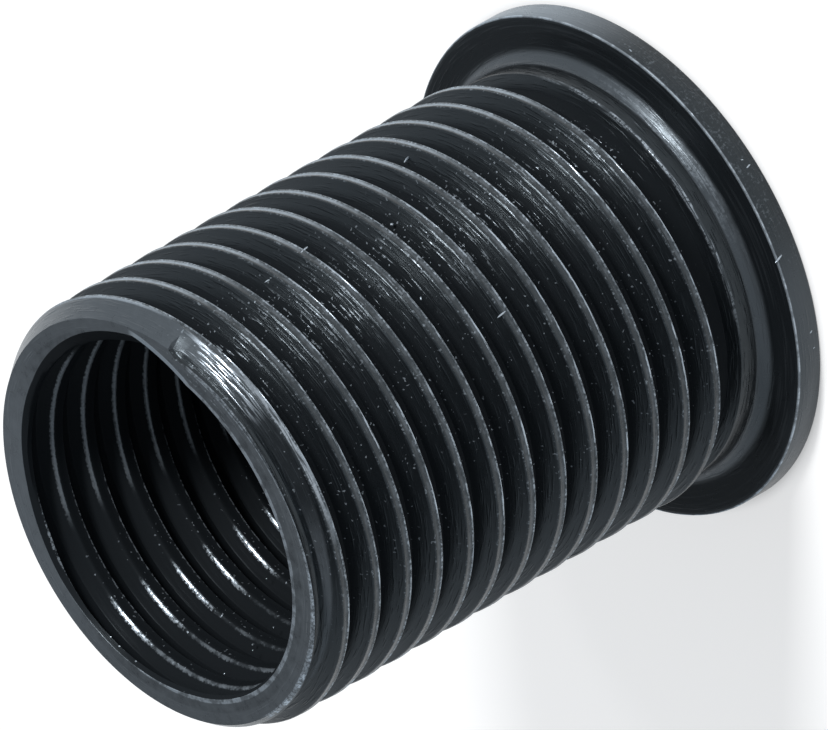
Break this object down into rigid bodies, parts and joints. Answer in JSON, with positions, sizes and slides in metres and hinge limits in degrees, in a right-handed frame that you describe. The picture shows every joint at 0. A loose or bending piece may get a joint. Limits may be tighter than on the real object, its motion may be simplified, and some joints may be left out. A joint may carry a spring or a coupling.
{
  "type": "threaded insert",
  "caption": "Flanged steel thread insert: a thin blackened sleeve with a fine right-hand thread outside and inside, a plain neck and a thin round flange at one end.",
  "frame": {"origin": "centre of the flange's outer face, which the insert stands on", "axes": "+Z along the sleeve's axis, from the flange towards the lead-in end of the outer thread"},
  "size_m": [0.016, 0.016, 0.0191],
  "materials": {
    "black_steel": "black oxide over turned steel, satin, bright along the worn crests"
  },
  "bodies": {
    "root": {"threaded_insert": "black_steel"}
  },
  "joints": []
}
